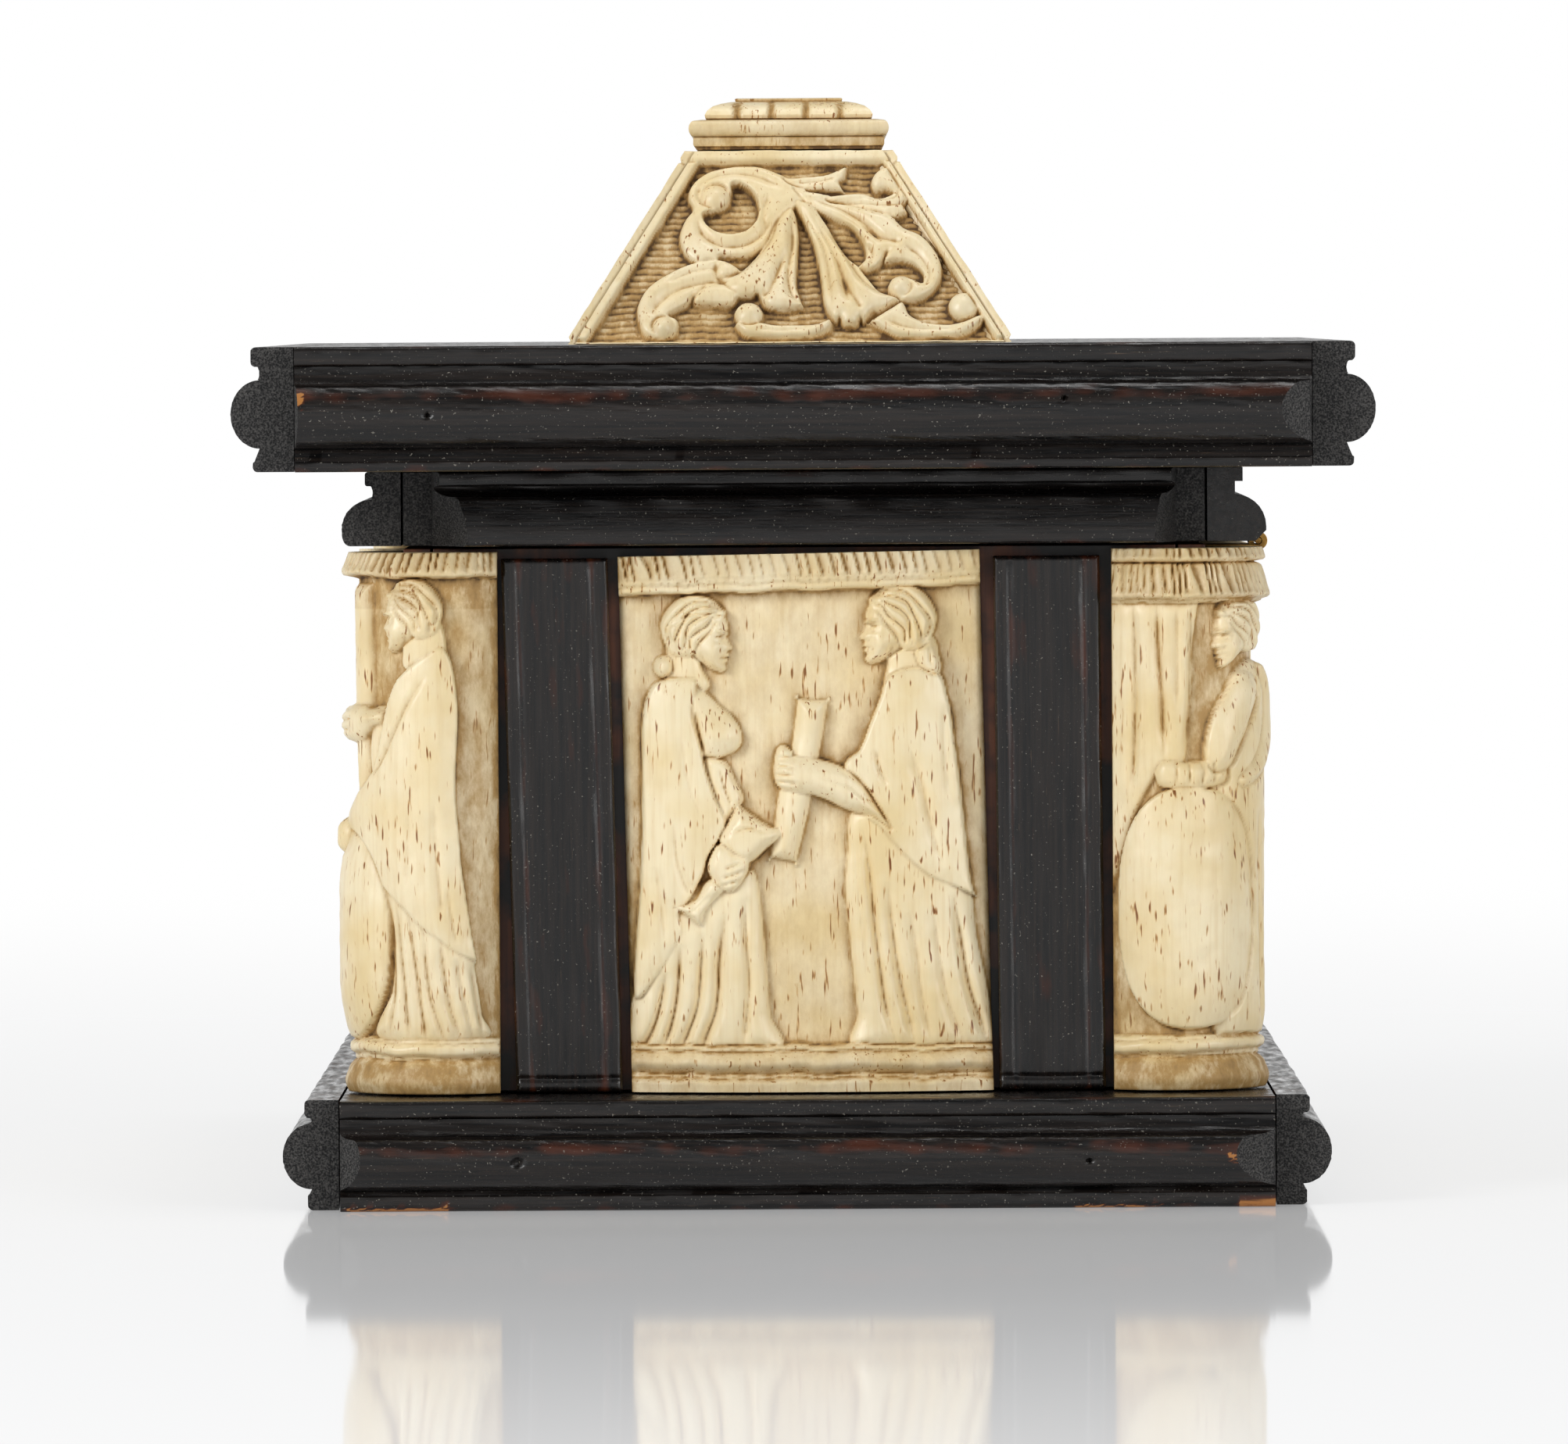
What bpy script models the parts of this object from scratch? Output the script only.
"""Small oblong casket: walnut boards faced with carved bone and ebonised mouldings, under a hinged roof lid.

Metres, +Z up. The origin is the centre of the underside. The end with one figure plaque faces -Y (near),
the other end +Y (far). The lock is on the long side at -X (left), the two hinges on the one at +X (right).
"""

import math

import bmesh
import bpy
from mathutils import Matrix, Vector

MM = 0.001
DEGREE = math.pi / 180
SHARP_ANGLE = 35 * DEGREE

# Clearances
GLUE_GAP = 0.3 * MM
LID_GAP = 0.4 * MM
LIP_CLEARANCE = 0.6 * MM
BONE_TOP_GAP = 0.4 * MM
PIN_CLEARANCE = 0.1 * MM
KNUCKLE_CLEARANCE = 0.3 * MM
SLIDE_CLEARANCE = 0.3 * MM

# Body: four boards on a base board
CORE_WIDTH = 103 * MM
CORE_LENGTH = 156 * MM
WALL = 7 * MM
WALL_HEIGHT = 69.8 * MM
FLOOR_STEP = 2 * MM
BASE_HEIGHT = 14.1 * MM
BASE_SIDE_MARGIN = 8.1 * MM
BASE_END_MARGIN = 13 * MM

# Lid: a frieze board under a cornice board, with a lip that drops inside the walls
FRIEZE_HEIGHT = 9.5 * MM
FRIEZE_END_SETBACK = 3.9 * MM
LIP_DEPTH = 2 * MM
LID_HEIGHT = 15.9 * MM
LID_SIDE_MARGIN = 13 * MM
LID_END_MARGIN = 18 * MM

# Mouldings: heights and how far each member stands out
BASE_FOOT = 2.0 * MM
BASE_QUIRK = 0.7 * MM
BASE_FILLET = 2.3 * MM
BASE_FOOT_OUT = 3.9 * MM
BASE_QUIRK_OUT = 3.4 * MM
BASE_FILLET_OUT = 4.3 * MM
BASE_TORUS_OUT = 7.1 * MM
CORNICE_FOOT = 1.3 * MM
CORNICE_QUIRK = 1.7 * MM
CORNICE_FILLET = 2.5 * MM
CORNICE_FOOT_OUT = 5.2 * MM
CORNICE_QUIRK_OUT = 4.3 * MM
CORNICE_FILLET_OUT = 5.4 * MM
CORNICE_TORUS_OUT = 8.0 * MM
FRIEZE_FACE = 1.9 * MM
FRIEZE_OVOLO = 4.1 * MM
FRIEZE_QUIRK = 1.7 * MM
FRIEZE_QUIRK_OUT = 3.6 * MM
FRIEZE_FILLET_OUT = 4.6 * MM
FRIEZE_OVOLO_OUT = 7.6 * MM
FRIEZE_ARRIS = 1.4 * MM
EDGE_SOFT = 0.4 * MM
RETURN_SLOPE = 1.3
TORUS_STEPS = 12
OVOLO_STEPS = 7

# Bone facings and pilasters
PLINTH = 2.6 * MM
RING = 3.0 * MM
CROWN = 4.8 * MM
COLUMN_RADIUS = 12.2 * MM
COLUMN_SWELL = 0.5 * MM
COLUMN_AXIS_IN = 4.5 * MM
COLUMN_EDGE = 7.6 * MM
COLUMN_STEPS = 16
PLAQUE_EDGE = 3.0 * MM
PLAQUE_CURVE = 3.0 * MM
PLAQUE_SWELL = 0.6 * MM
PLAQUE_STEPS = 12
PILASTER_WIDTH = 13.6 * MM
PILASTER_DEPTH = 3.0 * MM
BAY_GAP = 1.3 * MM
PLAQUES_ON_END = 1
PLAQUES_ON_SIDE = 2
LEANS = {"pilaster_near_left": 1.3, "plaque_near": 1.2, "pilaster_near_right": 0.4}

# Figures on the plaques, drawn in millimetres from the middle of the foot of a plaque of the drawn width
FIGURE_DEPTH = 2.2 * MM
DRAWN_WIDTH = 46.4 * MM
LISTENER = [
    (-22.7, 4), (-22.4, 12), (-21.5, 26), (-20.8, 42), (-20, 50.6), (-18.6, 52.7), (-19, 54.4), (-17.7, 57),
    (-17.8, 60), (-16.4, 62.6), (-13.6, 63.4), (-10.6, 62.3), (-9.6, 60), (-9.6, 57), (-10.6, 54.9),
    (-12.6, 54.2), (-12.6, 52.2), (-9, 48.2), (-8, 46.2), (-8.2, 44.4), (-9.9, 41.5), (-8, 37), (-6.6, 35.3),
    (-3.5, 33.5), (-3.5, 32.6), (-7.3, 29.4), (-6.4, 27), (-5.5, 16), (-4.7, 4),
]
SPEAKER = [
    (6.1, 4), (6, 10), (4.9, 26), (5.9, 35.4), (3, 37.3), (-1.2, 38.3), (-3.4, 39.2), (-3.9, 41), (-3.7, 43.4),
    (-2.5, 44.4), (-1.4, 43.4), (1.5, 42.7), (5.2, 41.6), (8.6, 47.2), (10.8, 52.6), (10.8, 54.6), (9, 55),
    (8, 57.4), (8.2, 61), (9.4, 63.6), (12.4, 64.6), (15.4, 63.2), (16.8, 60), (17.8, 55.4), (17.6, 53.6),
    (18.6, 50.6), (20, 38), (21.4, 25), (21.5, 20), (23.2, 10), (23.3, 4),
]
ROD = [(-0.6, 50.4), (3.2, 50.1), (0.9, 38), (-1.4, 29.5), (-4.6, 30.1), (-3.3, 38.5)]
STAFF_BEARER = [
    (1.9, 4), (0.3, 17), (-1.6, 29), (-2.3, 37.5), (-2, 48), (-2.8, 55.4), (-4.2, 59), (-4.2, 62.4), (-6, 65),
    (-8.6, 65.4), (-11.2, 64.4), (-12, 62), (-12, 59.4), (-11, 57.4), (-9.2, 56.6), (-9.2, 54.4), (-11.2, 51),
    (-12, 49), (-15, 50.4), (-15.2, 66), (-19.5, 66), (-19.3, 50), (-21.6, 49.3), (-21.2, 45.6), (-19, 45),
    (-18.4, 39), (-22.6, 35), (-26, 31), (-26, 4),
]
SHIELD_BEARER = [
    (9, 4), (5.7, 7.8), (-0.2, 9.2), (-3.5, 14), (-4.1, 23), (-3.5, 32.6), (0, 37.6), (2.5, 42.3), (8.4, 42.2),
    (8.2, 45.5), (9.5, 48.7), (13, 53.2), (11.4, 55.4), (10.8, 59), (11.8, 61.8), (14.5, 62.7), (17.2, 61.8),
    (18.3, 59), (17.6, 55.4), (16.8, 54), (20.2, 53), (22, 49), (23.2, 36), (22.2, 4),
]
PEOPLE = {"listener": LISTENER, "speaker": SPEAKER, "rod": ROD}
BEARERS = {"staff_bearer": STAFF_BEARER, "shield_bearer": SHIELD_BEARER}
FIGURES = {
    "plaque_near": (PEOPLE, 1), "plaque_left_near": (PEOPLE, -1), "plaque_right_far": (PEOPLE, 1),
    "plaque_far": (BEARERS, 1), "plaque_left_far": (BEARERS, -1), "plaque_right_near": (BEARERS, 1),
}

# Roof
ROOF_MARGIN = 35.4 * MM
ROOF_SET_LEFT = 1.7 * MM
ROOF_HEIGHT = 24.8 * MM
ROOF_INSET = 15.6 * MM
PANEL = 2.2 * MM
HIP_LAP = 1.1 * MM

# Carving of the roof, drawn in millimetres across from the middle of a scroll and up from the eaves
CARVING_DEPTH = 1.5 * MM
CARVING_BORDER = 1.6 * MM
EAVES_BORDER = 0.5 * MM
SCROLL_SPACING = 54 * MM
SCROLL = [
    (1, 23.5), (-4.6, 26.3), (-8.6, 26.5), (-12.6, 24.3), (-13.3, 20.6), (-12.9, 18.8), (-14.3, 16),
    (-13.6, 13.2), (-12.4, 11.9), (-17, 10.3), (-19.2, 7.6), (-19.9, 4.6), (-19.2, 2), (-17.4, 0.8),
    (-14.8, 1.6), (-15.2, 4.4), (-12.6, 6.8), (-8.5, 6), (-5.6, 6.6), (-7, 4.4), (-6.4, 2.4), (-4.6, 0.7),
    (-1.4, 0.4), (2, 0.7), (5.2, 2.2), (7.5, 2.6), (9, 3.3), (10.5, 4.9), (12.4, 5.4), (12.6, 3.4),
    (16.2, 0.8), (20.4, 0.4), (24.2, 1.4), (26.4, 4.6), (25.2, 6.8), (23, 7.5), (21.2, 6), (21.6, 4),
    (19.5, 2.9), (16.8, 3.3), (14.8, 4.8), (14.6, 6.2), (16.6, 6.4), (18.6, 7.6), (19.9, 10.2), (19.4, 13.2),
    (17.4, 16.2), (13.4, 19.4), (16.2, 21.8), (15, 24.6), (12.6, 26.8), (13.4, 22.2), (8.4, 22.8),
    (7.4, 26.1), (5.6, 25.2), (3, 24.9),
]
SCROLL_EYES = [
    [(-10.6, 17.4), (-8.4, 16.6), (-5.6, 17.6), (-4.4, 20), (-4.6, 22.6), (-6.4, 23.6), (-7.4, 21.4),
     (-8.8, 19.4)],
    [(1.8, 15.8), (1.1, 12), (1, 8), (1.9, 5.6), (3.3, 5.6), (4.2, 8), (3.8, 11.5)],
    [(5.4, 18), (8, 16.4), (9.4, 13.2), (9.2, 11.4), (7.4, 13.5)],
    [(10.2, 10.3), (12, 11.8), (13.2, 12.6), (15.4, 12), (17, 10), (16.4, 8.7), (14.8, 9.8), (13.2, 8.6),
     (13.6, 7.2)],
]
MIDDLE_LEAF = [(0, 27), (-3, 22), (-2.4, 14), (0, 7), (2.4, 14), (3, 22)]

# Cap
CAP_INSET = 1.0 * MM
CAP_FILLET = 1.7 * MM
CAP_TORUS = 2.1 * MM
CAP_TORUS_OUT = 0.7 * MM
CREST_HEIGHT = 2.2 * MM
CREST_INSET = 1.5 * MM
CREST_SLOPE = 4.0 * MM
CREST_STRIP = 0.4 * MM

# Hinges on the right side, above the outer pilasters
HINGE_OUT = 7.3 * MM
HINGE_LENGTH = 11.4 * MM
PIN_RADIUS = 0.4 * MM
LEAF = 0.7 * MM
LEAF_REACH = 12 * MM
ROLL_STEPS = 20
PIN_SIDES = 20

# Lock in the left wall
LOCK_LENGTH = 26 * MM
LOCK_HEIGHT = 13 * MM
LOCK_DEPTH = 4.2 * MM
LOCK_PLATE = 0.8 * MM
BOLT_THROW = 4 * MM
BOLT_BLOCK = 6 * MM
BOLT_HEIGHT = 4 * MM
TONGUE = 0.9 * MM
STAPLE_LENGTH = 1.5 * MM
STAPLE_WIRE = 0.7 * MM
STAPLE_DROP = 8.4 * MM
STAPLE_ROOT = 5 * MM
KEYHOLE_DROP = 10.4 * MM
KEYHOLE_RADIUS = 1.1 * MM
KEYHOLE_SLOT = 1.0 * MM
KEYHOLE_TAIL = 2.6 * MM
KEY_PLATE_WIDTH = 8 * MM
KEY_PLATE_HEIGHT = 11 * MM
KEY_PLATE = 0.6 * MM

# Places worked out from the sizes above
CORE = (CORE_WIDTH, CORE_LENGTH)
BASE = (CORE_WIDTH + 2 * BASE_SIDE_MARGIN, CORE_LENGTH + 2 * BASE_END_MARGIN)
LID = (CORE_WIDTH + 2 * LID_SIDE_MARGIN, CORE_LENGTH + 2 * LID_END_MARGIN)
ROOF = (LID[0] - 2 * ROOF_MARGIN, LID[1] - 2 * ROOF_MARGIN)
STANDING = BASE_HEIGHT + GLUE_GAP
WALL_TOP = STANDING + WALL_HEIGHT
BONE_HEIGHT = WALL_HEIGHT - BONE_TOP_GAP
LID_BOTTOM = WALL_TOP + LID_GAP
CORNICE_BOTTOM = LID_BOTTOM + FRIEZE_HEIGHT + GLUE_GAP
LID_TOP = CORNICE_BOTTOM + LID_HEIGHT
ROOF_BOTTOM = LID_TOP + GLUE_GAP
CAP_BOTTOM = ROOF_BOTTOM + ROOF_HEIGHT + GLUE_GAP
CREST_BOTTOM = CAP_BOTTOM + CAP_FILLET + CAP_TORUS + GLUE_GAP
INNER_FACE = CORE_WIDTH / 2 - WALL
HINGE_X = CORE_WIDTH / 2 + HINGE_OUT
HINGE_Z = (WALL_TOP + LID_BOTTOM) / 2
ROLL_INNER = PIN_RADIUS + PIN_CLEARANCE
ROLL_OUTER = ROLL_INNER + LEAF
PILASTER_HEIGHT = HINGE_Z - ROLL_OUTER - GLUE_GAP - STANDING
SIDE_TURNS = {"near": 0, "right": 90, "far": 180, "left": 270}
ENDS = ("near", "far")


def clear_scene():
    for obj in list(bpy.data.objects):
        bpy.data.objects.remove(obj, do_unlink=True)


def material(name, colour, roughness, metallic=0.0):
    made = bpy.data.materials.new(name)
    made.use_nodes = True
    shader = made.node_tree.nodes["Principled BSDF"]
    shader.inputs["Base Color"].default_value = (*colour, 1)
    shader.inputs["Roughness"].default_value = roughness
    shader.inputs["Metallic"].default_value = metallic
    return made


def empty(name, location):
    made = bpy.data.objects.new(name, None)
    made.empty_display_size = 10 * MM
    made.location = location
    bpy.context.scene.collection.objects.link(made)
    return made


def add_object(name, mesh, matrix, finish=None, parent=None):
    """Links a bmesh as an object placed by a world matrix, carried by a parent empty."""
    bmesh.ops.recalc_face_normals(mesh, faces=mesh.faces)
    data = bpy.data.meshes.new(name)
    mesh.to_mesh(data)
    mesh.free()
    made = bpy.data.objects.new(name, data)
    bpy.context.scene.collection.objects.link(made)
    if finish:
        data.materials.append(finish)
    if parent:
        made.parent = parent
        made.matrix_parent_inverse = Matrix.Translation(parent.location).inverted()
    made.matrix_basis = matrix
    return made


def at(x, y, z):
    return Matrix.Translation((x, y, z))


def on_side(side, along, out, height):
    """World matrix of a piece on one side: local +X runs along the side, local -Y points out of it."""
    return Matrix.Rotation(SIDE_TURNS[side] * DEGREE, 4, "Z") @ at(along, -out, height)


def face_of(side, tier):
    return (tier[1] if side in ENDS else tier[0]) / 2


def run_of(side, tier):
    return tier[0] if side in ENDS else tier[1]


def loft(rings, mesh=None):
    """Closed solid through rings of points that match one to one, capped at both ends."""
    if mesh is None:
        mesh = bmesh.new()
    loops = [[mesh.verts.new(point) for point in ring] for ring in rings]
    for lower, upper in zip(loops, loops[1:]):
        for index in range(len(lower)):
            after = (index + 1) % len(lower)
            mesh.faces.new((lower[index], lower[after], upper[after], upper[index]))
    mesh.faces.new(loops[0])
    mesh.faces.new(loops[-1])
    return mesh


def prism(outline, depth):
    """An outline in local X and Z, pushed from -depth / 2 to depth / 2 along Y."""
    return loft([[(x, y, z) for x, z in outline] for y in (-depth / 2, depth / 2)])


def slab(outline, height):
    """A plan outline in local X and Y, raised from 0 to the height."""
    return loft([[(x, y, z) for x, y in outline] for z in (0, height)])


def stack(levels):
    """Rectangles (half width, half length, height) joined from the lowest to the highest."""
    corners = ((-1, -1), (1, -1), (1, 1), (-1, 1))
    return loft([[(x * wide, y * long, z) for x, y in corners] for wide, long, z in levels])


def box(low, high):
    """A box from its lowest to its highest corner."""
    size = Vector(high) - Vector(low)
    middle = (Vector(high) + Vector(low)) / 2
    mesh = bmesh.new()
    bmesh.ops.create_cube(mesh, size=1, matrix=at(*middle) @ Matrix.Diagonal((*size, 1)))
    return mesh


def cut(target, cutter_name, mesh, matrix=None):
    """Takes the mesh away from the target with a Boolean and keeps the cutter as a hidden guide."""
    cutter = bpy.data.objects.get(cutter_name)
    if cutter is None:
        cutter = add_object(cutter_name, mesh, matrix or Matrix.Identity(4))
        cutter.hide_render = True
        cutter.display_type = "WIRE"
    else:
        mesh.free()
    made = target.modifiers.new(cutter_name, "BOOLEAN")
    made.operation = "DIFFERENCE"
    made.solver = "EXACT"
    made.object = cutter


def shade(obj):
    obj.data.shade_smooth()
    obj.data.set_sharp_from_angle(angle=SHARP_ANGLE)


# Mouldings


def arc(middle, radii, start, end, steps):
    """Points on an ellipse between two angles, ends included."""
    turn = (end - start) / steps
    angles = [start + turn * step for step in range(steps + 1)]
    return [(middle[0] + radii[0] * math.cos(a), middle[1] + radii[1] * math.sin(a)) for a in angles]


def roll_section(height, foot, quirk, fillet, foot_out, quirk_out, fillet_out, torus_out):
    """Foot fillet, quirk, big half-round torus, quirk and top fillet, as (out, up) points."""
    low = foot + quirk
    high = height - fillet - quirk
    middle = (quirk_out, (low + high) / 2)
    torus = arc(middle, (torus_out - quirk_out, (high - low) / 2), -math.pi / 2, math.pi / 2, TORUS_STEPS)
    below = [(0, 0), (foot_out - EDGE_SOFT, 0), (foot_out, EDGE_SOFT), (foot_out, foot), (quirk_out, foot)]
    above = [(quirk_out, height - fillet), (fillet_out, height - fillet)]
    above += [(fillet_out, height - EDGE_SOFT), (fillet_out - EDGE_SOFT, height), (0, height)]
    return below + torus + above


def frieze_section():
    """Upright face, ovolo drawn in upward, quirk and fillet, as (out, up) points."""
    ovolo_top = FRIEZE_FACE + FRIEZE_OVOLO
    radii = (FRIEZE_OVOLO_OUT - FRIEZE_QUIRK_OUT, FRIEZE_OVOLO)
    ovolo = arc((FRIEZE_QUIRK_OUT, FRIEZE_FACE), radii, 0, math.pi / 2, OVOLO_STEPS)
    fillet_bottom = ovolo_top + FRIEZE_QUIRK
    below = [(0, 0), (FRIEZE_OVOLO_OUT - FRIEZE_ARRIS, 0), (FRIEZE_OVOLO_OUT, FRIEZE_ARRIS)]
    above = [(FRIEZE_QUIRK_OUT, fillet_bottom), (FRIEZE_FILLET_OUT, fillet_bottom)]
    above += [(FRIEZE_FILLET_OUT, FRIEZE_HEIGHT), (0, FRIEZE_HEIGHT)]
    return below + ovolo + above


def moulding(section, length, return_from=None):
    """A length of moulding whose ends, past return_from, are cut back to show as slanted returns."""
    mesh = loft([[(x, -out, up) for out, up in section] for x in (-length / 2, length / 2)])
    if return_from is None:
        return mesh
    everything = mesh.verts[:] + mesh.edges[:] + mesh.faces[:]
    bmesh.ops.bisect_plane(mesh, geom=everything, plane_co=(0, -return_from, 0), plane_no=(0, 1, 0))
    for vertex in mesh.verts:
        beyond = max(0, -vertex.co.y - return_from)
        vertex.co.x -= math.copysign(beyond * RETURN_SLOPE, vertex.co.x)
    return mesh


def add_mouldings(name, section, tier, height, finish, parent, return_from=None, end_setback=0):
    """One moulding on each side; those on the ends may have slanted returns or stop short of the corners."""
    made = {}
    for side in SIDE_TURNS:
        at_end = side in ENDS
        length = run_of(side, tier) - (2 * end_setback if at_end else 0)
        mesh = moulding(section, length, return_from if at_end else None)
        place = on_side(side, 0, face_of(side, tier) + GLUE_GAP, height)
        made[side] = add_object(f"{name}_{side}", mesh, place, finish, parent)
        shade(made[side])
    return made


# Boards


def long_wall_outline():
    """Plan of a long wall whose ends are rabbeted on the inside for the end walls."""
    half = CORE_LENGTH / 2
    seat = half - WALL
    return [(-half, 0), (half, 0), (half, WALL / 2), (seat, WALL / 2), (seat, WALL), (-seat, WALL),
            (-seat, WALL / 2), (-half, WALL / 2)]


def end_wall_outline():
    half = CORE_WIDTH / 2 - WALL / 2 - GLUE_GAP
    return [(-half, 0), (half, 0), (half, WALL - GLUE_GAP), (-half, WALL - GLUE_GAP)]


def add_walls(finish, parent):
    made = {}
    for side in SIDE_TURNS:
        outline = end_wall_outline() if side in ENDS else long_wall_outline()
        place = on_side(side, 0, face_of(side, CORE), STANDING)
        made[side] = add_object(f"wall_{side}", slab(outline, WALL_HEIGHT), place, finish, parent)
    return made


def add_base_board(finish, parent):
    outer = (BASE[0] / 2, BASE[1] / 2)
    inner = (CORE_WIDTH / 2 - WALL - GLUE_GAP, CORE_LENGTH / 2 - WALL - GLUE_GAP)
    levels = [(*outer, 0), (*outer, BASE_HEIGHT), (*inner, BASE_HEIGHT), (*inner, BASE_HEIGHT + FLOOR_STEP)]
    return add_object("base_board", stack(levels), at(0, 0, 0), finish, parent)


def add_frieze_board(finish, parent):
    outer = (CORE_WIDTH / 2, CORE_LENGTH / 2)
    lip = (outer[0] - WALL - LIP_CLEARANCE, outer[1] - WALL - LIP_CLEARANCE)
    levels = [(*lip, -LIP_DEPTH), (*lip, 0), (*outer, 0), (*outer, FRIEZE_HEIGHT)]
    return add_object("frieze_board", stack(levels), at(0, 0, LID_BOTTOM), finish, parent)


def add_lid_board(finish, parent):
    levels = [(LID[0] / 2, LID[1] / 2, 0), (LID[0] / 2, LID[1] / 2, LID_HEIGHT)]
    return add_object("lid_board", stack(levels), at(0, 0, CORNICE_BOTTOM), finish, parent)


# Bone facings and pilasters


def bone_levels(swell):
    """Heights of plinth, ring, shaft and crown with how far each swells past the shaft."""
    crown = BONE_HEIGHT - CROWN
    ring_top = PLINTH + RING
    return [
        (0, swell * 0.6), (PLINTH - EDGE_SOFT, swell * 0.2), (PLINTH, -EDGE_SOFT),
        (PLINTH + EDGE_SOFT, swell), (ring_top - EDGE_SOFT, swell), (ring_top, 0),
        (crown, 0), (crown + EDGE_SOFT, swell * 0.5), (BONE_HEIGHT - EDGE_SOFT, swell),
        (BONE_HEIGHT, swell * 0.7),
    ]


def column_outline(radius, across, along):
    """Plan of a corner bone about its axis: a round outside, and a notch that takes the corner of the box."""
    notch = COLUMN_AXIS_IN + GLUE_GAP
    start = math.asin(-COLUMN_EDGE / radius)
    points = arc((0, 0), (radius, radius), start, math.pi / 2 - start, COLUMN_STEPS)
    points += [(-COLUMN_EDGE, notch), (notch, notch), (notch, -COLUMN_EDGE)]
    return [(across * x, along * y) for x, y in points]


def add_columns(finish, parent):
    axis = (CORE_WIDTH / 2 - COLUMN_AXIS_IN, CORE_LENGTH / 2 - COLUMN_AXIS_IN)
    for end, along in (("near", -1), ("far", 1)):
        for side, across in (("left", -1), ("right", 1)):
            rings = []
            for height, swell in bone_levels(COLUMN_SWELL):
                outline = column_outline(COLUMN_RADIUS + swell, across, along)
                rings.append([(x, y, height) for x, y in outline])
            place = at(across * axis[0], along * axis[1], STANDING)
            shade(add_object(f"column_{end}_{side}", loft(rings), place, finish, parent))


def plaque_outline(width, swell):
    """Plan of a plaque: flat back, straight edges and a front that bows out."""
    half = width / 2
    steps = range(PLAQUE_STEPS + 1)
    shares = [2 * step / PLAQUE_STEPS - 1 for step in steps]
    front = [(half * share, -PLAQUE_EDGE - PLAQUE_CURVE * (1 - share * share) - swell) for share in shares]
    return front + [(half, 0), (-half, 0)]


def plaque(width):
    rings = []
    for height, swell in bone_levels(PLAQUE_SWELL):
        rings.append([(x, y, height) for x, y in plaque_outline(width, swell)])
    return loft(rings)


def pilaster():
    half = PILASTER_WIDTH / 2
    front = PILASTER_DEPTH
    outline = [(-half, 0), (-half, EDGE_SOFT - front), (EDGE_SOFT - half, -front), (half - EDGE_SOFT, -front),
               (half, EDGE_SOFT - front), (half, 0)]
    return slab(outline, PILASTER_HEIGHT)


def lean(mesh, name, height):
    """Shears a piece of one height about its middle, as pieces cut a little out of square stand."""
    for vertex in mesh.verts:
        vertex.co.x -= math.tan(LEANS.get(name, 0) * DEGREE) * (vertex.co.z - height / 2)
    return mesh


def sunk_plaque(width):
    """What is cut from a plaque between its ring and its crown, down to a ground that bows like its front."""
    ground = plaque_outline(width, -FIGURE_DEPTH)[:PLAQUE_STEPS + 1]
    clear = PLAQUE_EDGE + PLAQUE_CURVE + FIGURE_DEPTH
    side, edge = ground[-1][0] + clear, ground[-1][1]
    outline = [(-side, edge), *ground, (side, edge), (side, -2 * clear), (-side, -2 * clear)]
    heights = (PLINTH + RING + EDGE_SOFT, BONE_HEIGHT - CROWN - EDGE_SOFT)
    return loft([[(x, y, z) for x, y in outline] for z in heights])


def carve_plaque(panel, width, place):
    """Sinks the ground of a plaque and leaves its figures standing."""
    ground_name = f"cut_ground_{panel.name}"
    cut(panel, ground_name, lean(sunk_plaque(width), panel.name, BONE_HEIGHT), place)
    ground = bpy.data.objects[ground_name]
    drawings, turn = FIGURES[panel.name]
    scale = turn * width / DRAWN_WIDTH
    through = 4 * (PLAQUE_EDGE + PLAQUE_CURVE)
    for name, drawing in drawings.items():
        figure = prism([(scale * x * MM, z * MM) for x, z in drawing], through)
        cut(ground, f"cut_{name}_{panel.name}", lean(figure, panel.name, BONE_HEIGHT), place)


def bay_names(side):
    """Names along one side, from left to right as seen from outside it."""
    if side in ENDS:
        return [f"pilaster_{side}_left", f"plaque_{side}", f"pilaster_{side}_right"]
    places = ("near", "middle", "far") if side == "right" else ("far", "middle", "near")
    return [f"pilaster_{side}_{places[0]}", f"plaque_{side}_{places[0]}", f"pilaster_{side}_{places[1]}",
            f"plaque_{side}_{places[2]}", f"pilaster_{side}_{places[2]}"]


def add_bays(side, bone, wood, parent):
    """Pilasters and plaques between the two corner bones of one side, with the middle of each by name."""
    plaques = PLAQUES_ON_END if side in ENDS else PLAQUES_ON_SIDE
    span = run_of(side, CORE) - 2 * (COLUMN_AXIS_IN + COLUMN_EDGE)
    gaps = (2 * plaques + 2) * BAY_GAP
    plaque_width = (span - (plaques + 1) * PILASTER_WIDTH - gaps) / plaques
    made = {}
    left_edge = BAY_GAP - span / 2
    for name in bay_names(side):
        is_plaque = name.startswith("plaque")
        width = plaque_width if is_plaque else PILASTER_WIDTH
        mesh = plaque(width) if is_plaque else pilaster()
        lean(mesh, name, BONE_HEIGHT if is_plaque else PILASTER_HEIGHT)
        along = left_edge + width / 2
        place = on_side(side, along, face_of(side, CORE) + GLUE_GAP, STANDING)
        made[name] = (add_object(name, mesh, place, bone if is_plaque else wood, parent), along)
        if is_plaque:
            shade(made[name][0])
            carve_plaque(made[name][0], width, place)
        left_edge += width + BAY_GAP
    return made


# Roof


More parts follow.
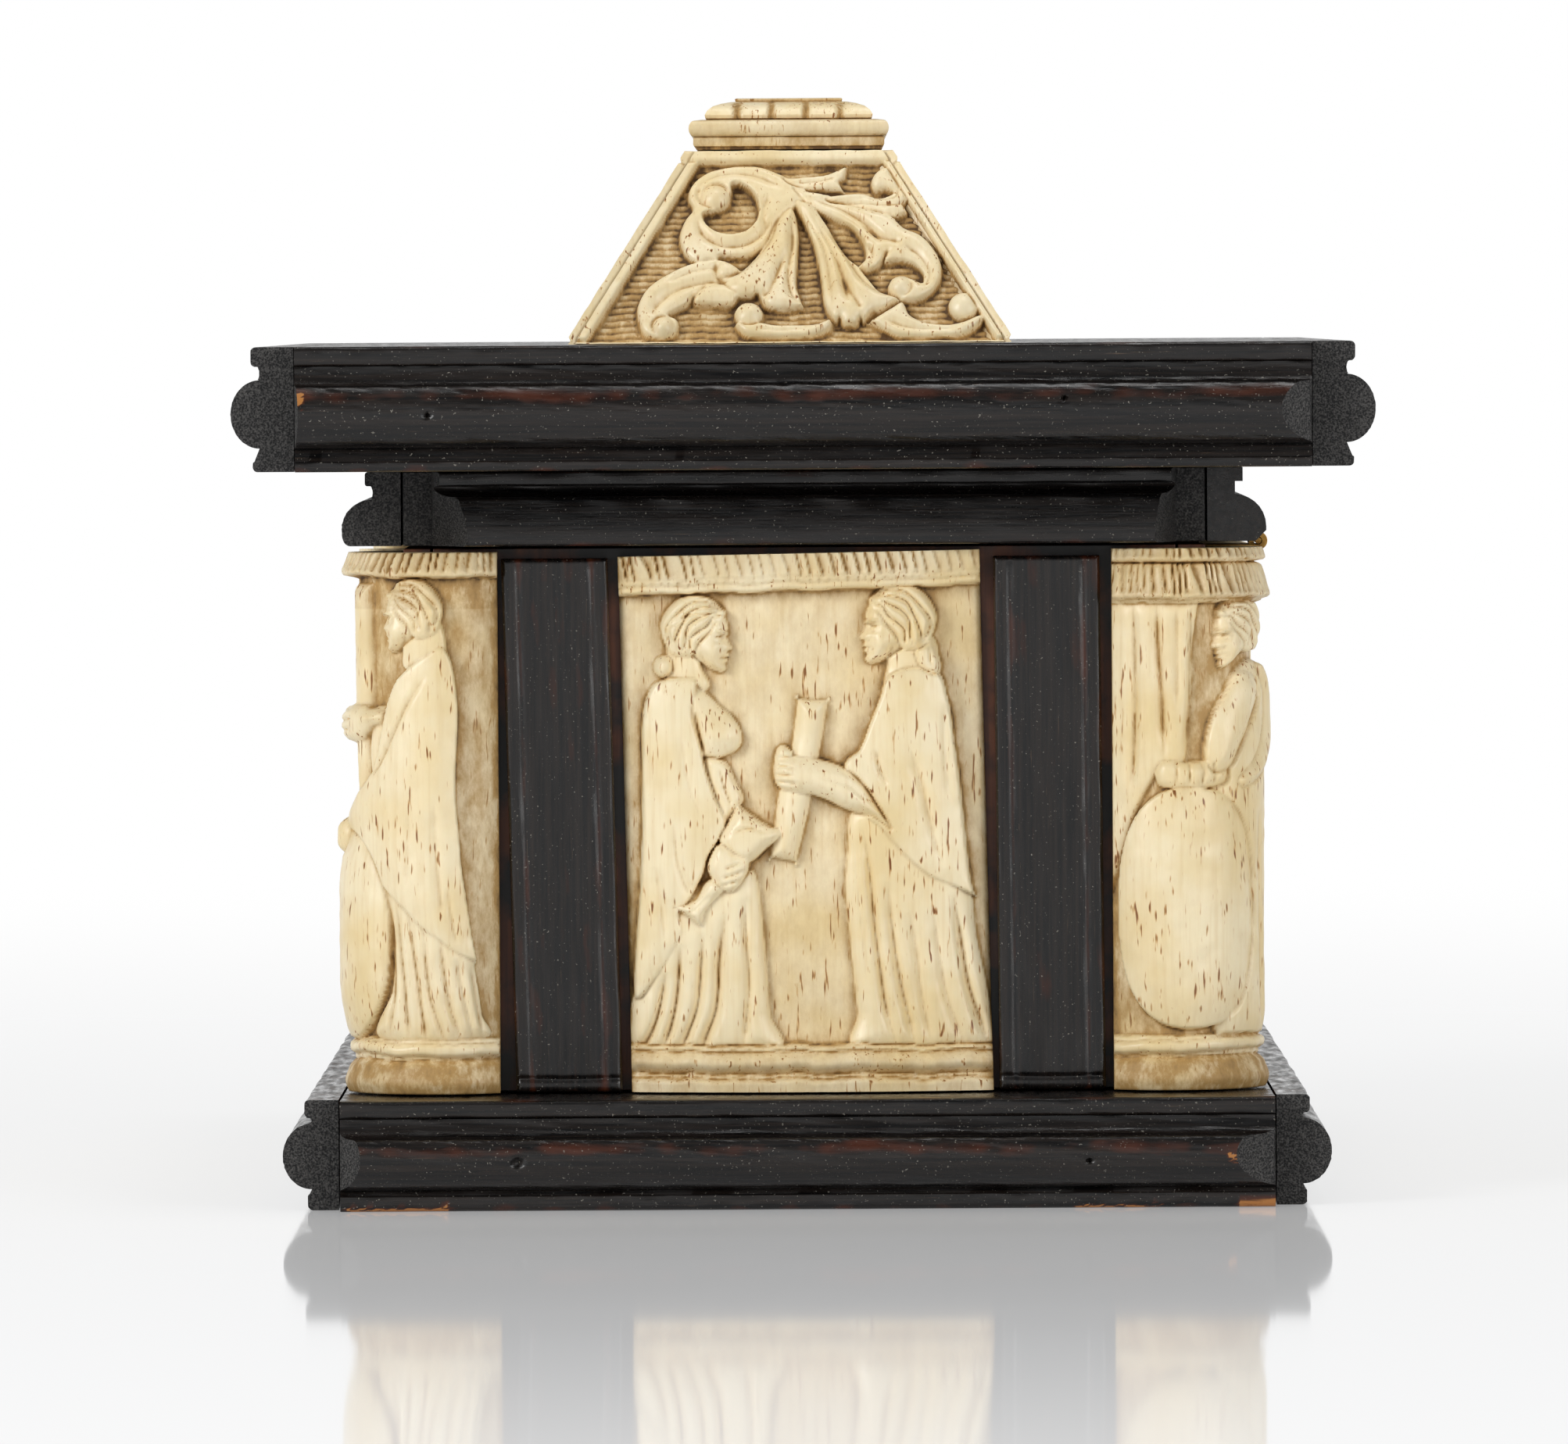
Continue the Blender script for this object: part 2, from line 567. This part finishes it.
def slope_plane(side, inward):
    """A point and the outward normal of one roof slope, moved in by a thickness."""
    turn = Matrix.Rotation(SIDE_TURNS[side] * DEGREE, 4, "Z")
    normal = Vector((0, -ROOF_HEIGHT, ROOF_INSET)).normalized()
    return turn @ (Vector((0, -face_of(side, ROOF), 0)) - normal * inward), turn.to_3x3() @ normal


def roof_solid(planes):
    """What is left of the roof's block inside every plane."""
    mesh = box((-ROOF[0] / 2, -ROOF[1] / 2, 0), (ROOF[0] / 2, ROOF[1] / 2, ROOF_HEIGHT))
    for point, normal in planes:
        everything = mesh.verts[:] + mesh.edges[:] + mesh.faces[:]
        result = bmesh.ops.bisect_plane(
            mesh, geom=everything, plane_co=point, plane_no=normal, clear_outer=True, dist=0.1 * GLUE_GAP)
        rim = [item for item in result["geom_cut"] if isinstance(item, bmesh.types.BMEdge)]
        bmesh.ops.contextual_create(mesh, geom=rim)
    return mesh


def inside_out(plane):
    return plane[0], -plane[1]


def hip_plane(end, long_side, gap):
    """The mitre of an end slope and a long one, set in along the end so that the long panel laps its edge."""
    corner = slope_plane(end, 0)[0] + slope_plane(long_side, 0)[0]
    outward = slope_plane(long_side, 0)[1]
    lap = Vector((outward.x, outward.y, 0)).normalized() * HIP_LAP
    normal = (outward - slope_plane(end, 0)[1]).normalized()
    return corner - lap + normal * gap, normal


def on_slope(side):
    """Matrix of a drawing on a roof slope: local X runs across, Y up from the eaves, and Z outward."""
    across = Vector((1, 0, 0))
    up = Vector((0, ROOF_INSET, ROOF_HEIGHT)).normalized()
    axes = Matrix((across, up, across.cross(up))).transposed().to_4x4()
    return on_side(side, 0, face_of(side, ROOF), 0) @ axes


def sunk_ground(side):
    """The ground between the borders of a panel, as a trapezium on its slope."""
    slope = math.hypot(ROOF_HEIGHT, ROOF_INSET)
    lap = HIP_LAP if side in ENDS else 0
    half = run_of(side, ROOF) / 2 - (CARVING_BORDER + lap) * slope / ROOF_HEIGHT
    low, high = EAVES_BORDER, slope - CARVING_BORDER
    wide, narrow = half - low * ROOF_INSET / slope, half - high * ROOF_INSET / slope
    return [(-wide, low), (wide, low), (narrow, high), (-narrow, high)]


def raised(outlines, low, high):
    """One mesh of upright prisms on drawn outlines."""
    mesh = bmesh.new()
    for outline in outlines:
        loft([[(x, y, z) for x, y in outline] for z in (low, high)], mesh)
    return mesh


def carve_panel(panel, side, place):
    """Sinks the ground of a roof panel and leaves its scrolls standing, one on an end and two on a side."""
    slope = place @ on_slope(side)
    ground_name = f"cut_ground_{side}"
    cut(panel, ground_name, raised([sunk_ground(side)], -CARVING_DEPTH, CARVING_DEPTH), slope)
    ground = bpy.data.objects[ground_name]
    scrolls = {"scroll": (0, 1)}
    if side not in ENDS:
        scrolls = {"first_scroll": (-SCROLL_SPACING / 2, 1), "second_scroll": (SCROLL_SPACING / 2, -1)}
        leaf = [(x * MM, y * MM) for x, y in MIDDLE_LEAF]
        cut(ground, f"cut_leaf_{side}", raised([leaf], -2 * CARVING_DEPTH, 2 * CARVING_DEPTH), slope)
    for name, (middle, turn) in scrolls.items():
        drawings = [SCROLL, *SCROLL_EYES]
        whole, *eyes = [[(middle + turn * x * MM, y * MM) for x, y in drawing] for drawing in drawings]
        cut(ground, f"cut_{name}_{side}", raised([whole], -2 * CARVING_DEPTH, 2 * CARVING_DEPTH), slope)
        cut(panel, f"cut_{name}_eyes_{side}", raised(eyes, -CARVING_DEPTH, CARVING_DEPTH), slope)


def add_roof(wood, bone, parent):
    core = [slope_plane(side, PANEL + GLUE_GAP) for side in SIDE_TURNS]
    place = at(-ROOF_SET_LEFT, 0, ROOF_BOTTOM)
    add_object("roof_core", roof_solid(core), place, wood, parent)
    for side in SIDE_TURNS:
        planes = [slope_plane(side, 0), inside_out(slope_plane(side, PANEL))]
        if side in ENDS:
            planes += [hip_plane(side, other, -GLUE_GAP / 2) for other in ("left", "right")]
        else:
            planes += [slope_plane(end, 0) for end in ENDS]
            planes += [inside_out(hip_plane(end, side, GLUE_GAP / 2)) for end in ENDS]
        panel = add_object(f"roof_panel_{side}", roof_solid(planes), place, bone, parent)
        carve_panel(panel, side, place)


def add_cap(bone, parent):
    fillet = (ROOF[0] / 2 - ROOF_INSET - CAP_INSET, ROOF[1] / 2 - ROOF_INSET - CAP_INSET)
    middle = CAP_FILLET + CAP_TORUS / 2
    levels = [(*fillet, 0), (*fillet, CAP_FILLET)]
    torus = arc((0, middle), (CAP_TORUS_OUT, CAP_TORUS / 2), -math.pi / 2, math.pi / 2, OVOLO_STEPS)
    for out, up in torus[1:]:
        levels.append((fillet[0] + out, fillet[1] + out, up))
    shade(add_object("cap_moulding", stack(levels), at(-ROOF_SET_LEFT, 0, CAP_BOTTOM), bone, parent))
    foot = (fillet[0] - CREST_INSET, fillet[1] - CREST_INSET)
    levels = []
    for out, up in arc((-CREST_SLOPE, 0), (CREST_SLOPE, CREST_HEIGHT), 0, math.pi / 2, OVOLO_STEPS):
        levels.append((foot[0] + out, foot[1] + out, up))
    levels.append((levels[-1][0], levels[-1][1], CREST_HEIGHT + CREST_STRIP))
    shade(add_object("cap_crest", stack(levels), at(-ROOF_SET_LEFT, 0, CREST_BOTTOM), bone, parent))


# Hinges


def rolled_leaf():
    """Section of a leaf about the hinge axis: a flat strip under the barrel that rolls up round the pin."""
    start = -math.pi / 2
    end = math.pi + math.asin((ROLL_INNER - KNUCKLE_CLEARANCE) / ROLL_OUTER)
    outer = arc((0, 0), (ROLL_OUTER, ROLL_OUTER), start, end, ROLL_STEPS)
    inner = arc((0, 0), (ROLL_INNER, ROLL_INNER), start, end, ROLL_STEPS)
    return [(-LEAF_REACH, -ROLL_OUTER)] + outer + inner[::-1] + [(-LEAF_REACH, -ROLL_INNER)]


def knuckle_cutter(low, high):
    reach = ROLL_OUTER + KNUCKLE_CLEARANCE
    return box((-reach, low, -reach), (reach, high, reach))


def add_hinge(place_name, along, walls, lid_pieces, brass, parent, lid_parent):
    """Two rolled leaves and their pin; the wall leaf has the outer knuckles, the lid leaf the middle one."""
    axis = at(HINGE_X, along, HINGE_Z)
    half = HINGE_LENGTH / 2
    third = HINGE_LENGTH / 6
    name = f"hinge_{place_name}"
    wall_leaf = add_object(f"{name}_wall_leaf", prism(rolled_leaf(), HINGE_LENGTH), axis, brass, parent)
    lid_leaf_mesh = prism(rolled_leaf(), HINGE_LENGTH)
    lid_leaf_mesh.transform(Matrix.Diagonal((1, 1, -1, 1)))
    lid_leaf = add_object(f"{name}_lid_leaf", lid_leaf_mesh, axis, brass, lid_parent)
    middle = knuckle_cutter(-third - KNUCKLE_CLEARANCE / 2, third + KNUCKLE_CLEARANCE / 2)
    cut(wall_leaf, f"cut_{name}_middle", middle, axis)
    outside = half + KNUCKLE_CLEARANCE
    low_end = knuckle_cutter(-outside, KNUCKLE_CLEARANCE / 2 - third)
    cut(lid_leaf, f"cut_{name}_low_end", low_end, axis)
    high_end = knuckle_cutter(third - KNUCKLE_CLEARANCE / 2, outside)
    cut(lid_leaf, f"cut_{name}_high_end", high_end, axis)
    pin = bmesh.new()
    turn = Matrix.Rotation(math.pi / 2, 4, "X")
    bmesh.ops.create_cone(pin, cap_ends=True, segments=PIN_SIDES, radius1=PIN_RADIUS, radius2=PIN_RADIUS,
                          depth=HINGE_LENGTH, matrix=turn)
    shade(add_object(f"{name}_pin", pin, axis, brass, parent))
    wide = half + GLUE_GAP
    wall_seat = box((-LEAF_REACH - GLUE_GAP, -wide, -ROLL_OUTER - GLUE_GAP), (0, wide, LID_GAP))
    cut(walls["right"], f"cut_{name}_wall_seat", wall_seat, axis)
    lid_seat = box((-LEAF_REACH - GLUE_GAP, -wide, -LID_GAP), (2 * ROLL_OUTER, wide, ROLL_OUTER + GLUE_GAP))
    for piece in lid_pieces:
        cut(piece, f"cut_{name}_lid_seat", lid_seat.copy(), axis)
    lid_seat.free()


# Lock


def add_lock(wall, key_pilaster, frieze_board, iron, brass, parent, lid_parent):
    """A sliding bolt in a case let into the left wall, and the staple on the lid that it shoots through."""
    half = LOCK_LENGTH / 2
    top = WALL_TOP - GLUE_GAP
    low = top - LOCK_HEIGHT
    shown = -INNER_FACE - GLUE_GAP
    plate = shown - LOCK_PLATE
    back = shown - LOCK_DEPTH
    pocket = box((back - GLUE_GAP, -half - GLUE_GAP, low - GLUE_GAP),
                 (-INNER_FACE + WALL, half + GLUE_GAP, LID_BOTTOM))
    cut(wall, "cut_lock_pocket", pocket)
    case = add_object("lock_case", box((back, -half, low), (shown, half, top)), Matrix.Identity(4), iron,
                      parent)
    room = box((back - WALL, LOCK_PLATE - half, low + LOCK_PLATE),
               (plate, half - LOCK_PLATE, top - LOCK_PLATE))
    cut(case, "cut_lock_room", room)
    slot = STAPLE_LENGTH / 2 + 2 * SLIDE_CLEARANCE
    cut(case, "cut_lock_slot", box((back - WALL, -slot, top - 2 * LOCK_PLATE), (plate, slot, LID_BOTTOM)))

    staple_out = plate - SLIDE_CLEARANCE
    eye_out = staple_out - STAPLE_WIRE
    eye_in = eye_out - TONGUE - 2 * SLIDE_CLEARANCE
    staple_in = eye_in - STAPLE_WIRE
    foot = LID_BOTTOM - STAPLE_DROP
    root = LID_BOTTOM + STAPLE_ROOT
    outline = [(staple_in, root), (staple_in, foot), (staple_out, foot), (staple_out, root), (eye_out, root),
               (eye_out, foot + STAPLE_WIRE), (eye_in, foot + STAPLE_WIRE), (eye_in, root)]
    add_object("lid_staple", prism(outline, STAPLE_LENGTH), Matrix.Identity(4), iron, lid_parent)
    deep = STAPLE_LENGTH / 2 + GLUE_GAP
    socket = box((staple_in - GLUE_GAP, -deep, foot), (staple_out + GLUE_GAP, deep, root + GLUE_GAP))
    cut(frieze_board, "cut_staple_socket", socket)

    bolt_low = foot + STAPLE_WIRE + SLIDE_CLEARANCE
    tongue_tip = -STAPLE_LENGTH / 2 - SLIDE_CLEARANCE
    block_end = tongue_tip - BOLT_THROW - SLIDE_CLEARANCE
    block_in = back + SLIDE_CLEARANCE
    tongue_in = eye_in + SLIDE_CLEARANCE
    tongue_out = tongue_in + TONGUE
    start = block_end - BOLT_BLOCK
    plan = [(block_in, start), (staple_out, start), (staple_out, block_end), (tongue_out, block_end),
            (tongue_out, tongue_tip), (tongue_in, tongue_tip), (tongue_in, block_end), (block_in, block_end)]
    origin = Vector((tongue_in, block_end, bolt_low))
    bolt = slab([(x - origin.x, y - origin.y) for x, y in plan], BOLT_HEIGHT)
    add_object("lock_bolt", bolt, at(*origin), iron, parent)

    key_height = top - KEYHOLE_DROP
    front = -CORE_WIDTH / 2 - GLUE_GAP - PILASTER_DEPTH
    half_wide = KEY_PLATE_WIDTH / 2
    oval = arc((0, 0), (half_wide, KEY_PLATE_HEIGHT / 2), 0, 2 * math.pi, 2 * TORUS_STEPS)[:-1]
    place = on_side("left", 0, -front + GLUE_GAP + KEY_PLATE / 2, key_height)
    key_plate = add_object("keyhole_plate", prism(oval, KEY_PLATE), place, brass, parent)
    reach = 2 * (PILASTER_DEPTH + KEY_PLATE + WALL)
    foot_point = -KEYHOLE_RADIUS - KEYHOLE_TAIL
    slot_half = KEYHOLE_SLOT / 2
    edge = math.asin(slot_half / KEYHOLE_RADIUS)
    radii = (KEYHOLE_RADIUS, KEYHOLE_RADIUS)
    hole = arc((0, 0), radii, edge - math.pi / 2, 1.5 * math.pi - edge, TORUS_STEPS)
    hole += [(-slot_half, foot_point), (slot_half, foot_point)]
    place = on_side("left", 0, -front, key_height)
    for piece in (key_plate, key_pilaster, wall):
        cut(piece, "cut_keyhole", prism(hole, reach), place)


def main():
    clear_scene()
    ebonised = material("ebonised_wood", (0.012, 0.011, 0.012), 0.35)
    walnut = material("walnut_core", (0.09, 0.035, 0.016), 0.6)
    bone = material("carved_bone", (0.82, 0.68, 0.45), 0.4)
    brass = material("aged_brass", (0.45, 0.28, 0.09), 0.4, 1.0)
    iron = material("black_iron", (0.03, 0.028, 0.026), 0.55, 1.0)

    body = empty("casket_body", (0, 0, 0))
    lid = empty("lid_hinge_axis", (HINGE_X, 0, HINGE_Z))

    add_base_board(ebonised, body)
    base_section = roll_section(BASE_HEIGHT, BASE_FOOT, BASE_QUIRK, BASE_FILLET, BASE_FOOT_OUT, BASE_QUIRK_OUT,
                                BASE_FILLET_OUT, BASE_TORUS_OUT)
    add_mouldings("base_moulding", base_section, BASE, 0, ebonised, body, BASE_FILLET_OUT)
    walls = add_walls(walnut, body)
    add_columns(bone, body)
    bays = {}
    for side in SIDE_TURNS:
        bays.update(add_bays(side, bone, ebonised, body))

    frieze_board = add_frieze_board(walnut, lid)
    frieze = add_mouldings("frieze_moulding", frieze_section(), CORE, LID_BOTTOM, ebonised, lid,
                           end_setback=FRIEZE_END_SETBACK)
    add_lid_board(ebonised, lid)
    cornice_section = roll_section(LID_HEIGHT, CORNICE_FOOT, CORNICE_QUIRK, CORNICE_FILLET, CORNICE_FOOT_OUT,
                                   CORNICE_QUIRK_OUT, CORNICE_FILLET_OUT, CORNICE_TORUS_OUT)
    add_mouldings("cornice", cornice_section, LID, CORNICE_BOTTOM, ebonised, lid, CORNICE_FILLET_OUT)
    add_roof(walnut, bone, lid)
    add_cap(bone, lid)

    for place in ENDS:
        along = bays[f"pilaster_right_{place}"][1]
        add_hinge(place, along, walls, (frieze_board, frieze["right"]), brass, body, lid)
    add_lock(walls["left"], bays["pilaster_left_middle"][0], frieze_board, iron, brass, body, lid)


main()
